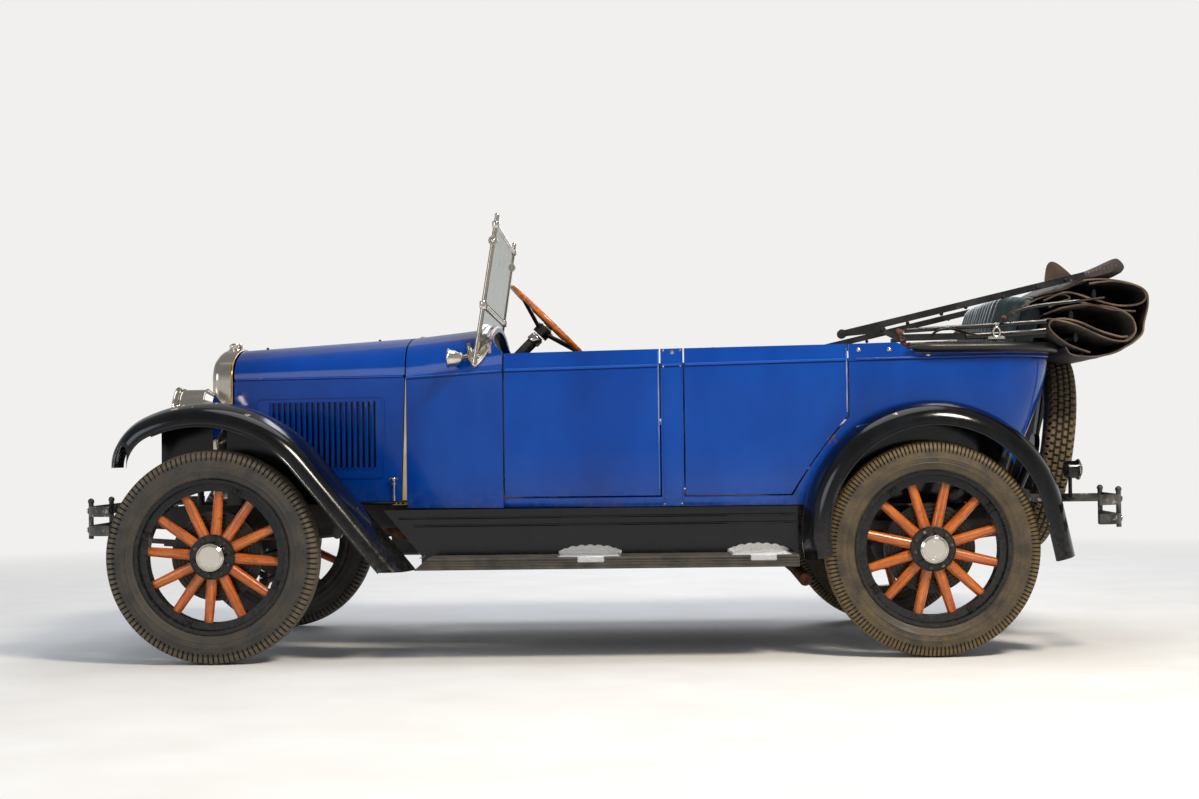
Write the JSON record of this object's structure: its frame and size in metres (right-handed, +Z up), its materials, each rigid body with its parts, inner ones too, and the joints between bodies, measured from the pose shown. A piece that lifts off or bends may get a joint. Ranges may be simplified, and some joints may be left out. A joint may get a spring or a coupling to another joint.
{
  "type": "1920s open touring car",
  "caption": "Blue open touring car of the 1920s with black fenders, wood-spoked wheels, folded top, rear spare, opening doors and hood leaves, and working steering.",
  "frame": {"origin": "on the ground under the middle of the car's length and width", "axes": "+X towards the rear, +Y to the car's right side, +Z up"},
  "size_m": [3.836, 1.6082, 1.6116],
  "materials": {
    "blue_paint": "gloss",
    "black_paint": "satin",
    "chassis_paint": "worn",
    "nickel": "polished",
    "core": "matte",
    "cast": "raw",
    "rust": "raw",
    "varnished_wood": "gloss",
    "rubber_mat": "matte",
    "tyre_rubber": "matte",
    "glass": "gloss",
    "leather": "satin",
    "top_cloth": "matte",
    "floor_wood": "matte",
    "spring_steel": "worn"
  },
  "bodies": {
    "chassis": {"body_frame": "blue_paint", "body_tub": "blue_paint", "cowl": "blue_paint", "dashboard": "floor_wood", "floor": "floor_wood", "front_fenders": "black_paint", "rear_fenders": "black_paint", "running_boards": "rubber_mat", "splash_aprons": "black_paint", "radiator_shell": "nickel", "radiator_core": "core", "frame": "chassis_paint", "leaf_springs": "spring_steel", "front_axle": "chassis_paint", "rear_axle": "chassis_paint", "power_unit": "cast", "exhaust": "rust", "fuel_tank": "chassis_paint", "windshield_frame": "nickel", "windshield_glass": "glass", "steering_column": "chassis_paint", "seats": "leather", "lamps": "nickel", "lamp_lenses": "glass", "bumpers": "black_paint", "spare_rim": "black_paint", "spare_tyre": "tyre_rubber", "top_cloth": "top_cloth", "top_irons": "black_paint"},
    "steering": {"steering_wheel": "varnished_wood"},
    "knuckle_left": {"knuckle_left": "chassis_paint"},
    "knuckle_right": {"knuckle_right": "chassis_paint"},
    "tie_rod": {"tie_rod": "chassis_paint"},
    "door_front_left": {"door_front_left": "blue_paint"},
    "door_front_right": {"door_front_right": "blue_paint"},
    "door_rear_left": {"door_rear_left": "blue_paint"},
    "door_rear_right": {"door_rear_right": "blue_paint"},
    "hood_top_left": {"hood_top_left": "blue_paint"},
    "hood_top_right": {"hood_top_right": "blue_paint"},
    "hood_side_left": {"hood_side_left": "blue_paint"},
    "hood_side_right": {"hood_side_right": "blue_paint"},
    "wheel_front_left": {"wheel_front_left": "varnished_wood", "tyre_front_left": "tyre_rubber"},
    "wheel_front_right": {"wheel_front_right": "varnished_wood", "tyre_front_right": "tyre_rubber"},
    "wheel_rear_left": {"wheel_rear_left": "varnished_wood", "tyre_rear_left": "tyre_rubber"},
    "wheel_rear_right": {"wheel_rear_right": "varnished_wood", "tyre_rear_right": "tyre_rubber"}
  },
  "joints": [
    {"name": "steering_turns", "type": "hinge", "parent": "chassis", "child": "steering", "pos_m": [-0.258, -0.31, 1.22], "axis": [0.7071, 0, 0.7071], "range_deg": [-390, 390]},
    {"name": "knuckle_left_turns", "type": "hinge", "parent": "chassis", "child": "knuckle_left", "pos_m": [-1.448, -0.566, 0.381], "axis": [0, 0, 1], "range_deg": [-30, 30]},
    {"name": "knuckle_right_turns", "type": "hinge", "parent": "chassis", "child": "knuckle_right", "pos_m": [-1.448, 0.566, 0.381], "axis": [0, 0, 1], "range_deg": [-30, 30]},
    {"name": "tie_rod_turns", "type": "hinge", "parent": "knuckle_left", "child": "tie_rod", "pos_m": [-1.298, -0.566, 0.281], "axis": [0, 0, 1], "range_deg": [-30, 30]},
    {"name": "wheel_front_left_rolls", "type": "hinge", "parent": "knuckle_left", "child": "wheel_front_left", "pos_m": [-1.448, -0.711, 0.381], "axis": [0, 1, 0], "continuous": true},
    {"name": "wheel_front_right_rolls", "type": "hinge", "parent": "knuckle_right", "child": "wheel_front_right", "pos_m": [-1.448, 0.711, 0.381], "axis": [0, 1, 0], "continuous": true},
    {"name": "wheel_rear_left_rolls", "type": "hinge", "parent": "chassis", "child": "wheel_rear_left", "pos_m": [1.098, -0.711, 0.381], "axis": [0, 1, 0], "continuous": true},
    {"name": "wheel_rear_right_rolls", "type": "hinge", "parent": "chassis", "child": "wheel_rear_right", "pos_m": [1.098, 0.711, 0.381], "axis": [0, 1, 0], "continuous": true},
    {"name": "door_front_left_opens", "type": "hinge", "parent": "chassis", "child": "door_front_left", "pos_m": [-0.418, -0.594, 0.85], "axis": [0, 0, -1], "range_deg": [0, 70]},
    {"name": "door_front_right_opens", "type": "hinge", "parent": "chassis", "child": "door_front_right", "pos_m": [-0.418, 0.594, 0.85], "axis": [0, 0, 1], "range_deg": [0, 70]},
    {"name": "door_rear_left_opens", "type": "hinge", "parent": "chassis", "child": "door_rear_left", "pos_m": [0.235, -0.633, 0.85], "axis": [0, 0, -1], "range_deg": [0, 70]},
    {"name": "door_rear_right_opens", "type": "hinge", "parent": "chassis", "child": "door_rear_right", "pos_m": [0.235, 0.633, 0.85], "axis": [0, 0, 1], "range_deg": [0, 70]},
    {"name": "hood_left_lifts", "type": "hinge", "parent": "chassis", "child": "hood_top_left", "pos_m": [-1.462, 0, 1.144], "axis": [-0.9983, 0, -0.0583], "range_deg": [0, 55]},
    {"name": "hood_right_lifts", "type": "hinge", "parent": "chassis", "child": "hood_top_right", "pos_m": [-1.462, 0, 1.144], "axis": [0.9983, 0, 0.0583], "range_deg": [0, 55]},
    {"name": "hood_side_left_hangs", "type": "hinge", "parent": "hood_top_left", "child": "hood_side_left", "pos_m": [-1.462, -0.27, 1.024], "axis": [-0.9663, 0.2575, 0], "range_deg": [-35.2, 0]},
    {"name": "hood_side_right_hangs", "type": "hinge", "parent": "hood_top_right", "child": "hood_side_right", "pos_m": [-1.462, 0.27, 1.024], "axis": [0.9663, 0.2575, 0], "range_deg": [-35.2, 0]}
  ],
  "couplings": [
    {"joint": "knuckle_left_turns", "follows": "steering_turns", "ratio": 0.076923},
    {"joint": "knuckle_right_turns", "follows": "steering_turns", "ratio": 0.076923},
    {"joint": "tie_rod_turns", "follows": "steering_turns", "ratio": -0.076923},
    {"joint": "hood_side_left_hangs", "follows": "hood_left_lifts", "ratio": -0.64},
    {"joint": "hood_side_right_hangs", "follows": "hood_right_lifts", "ratio": -0.64}
  ]
}
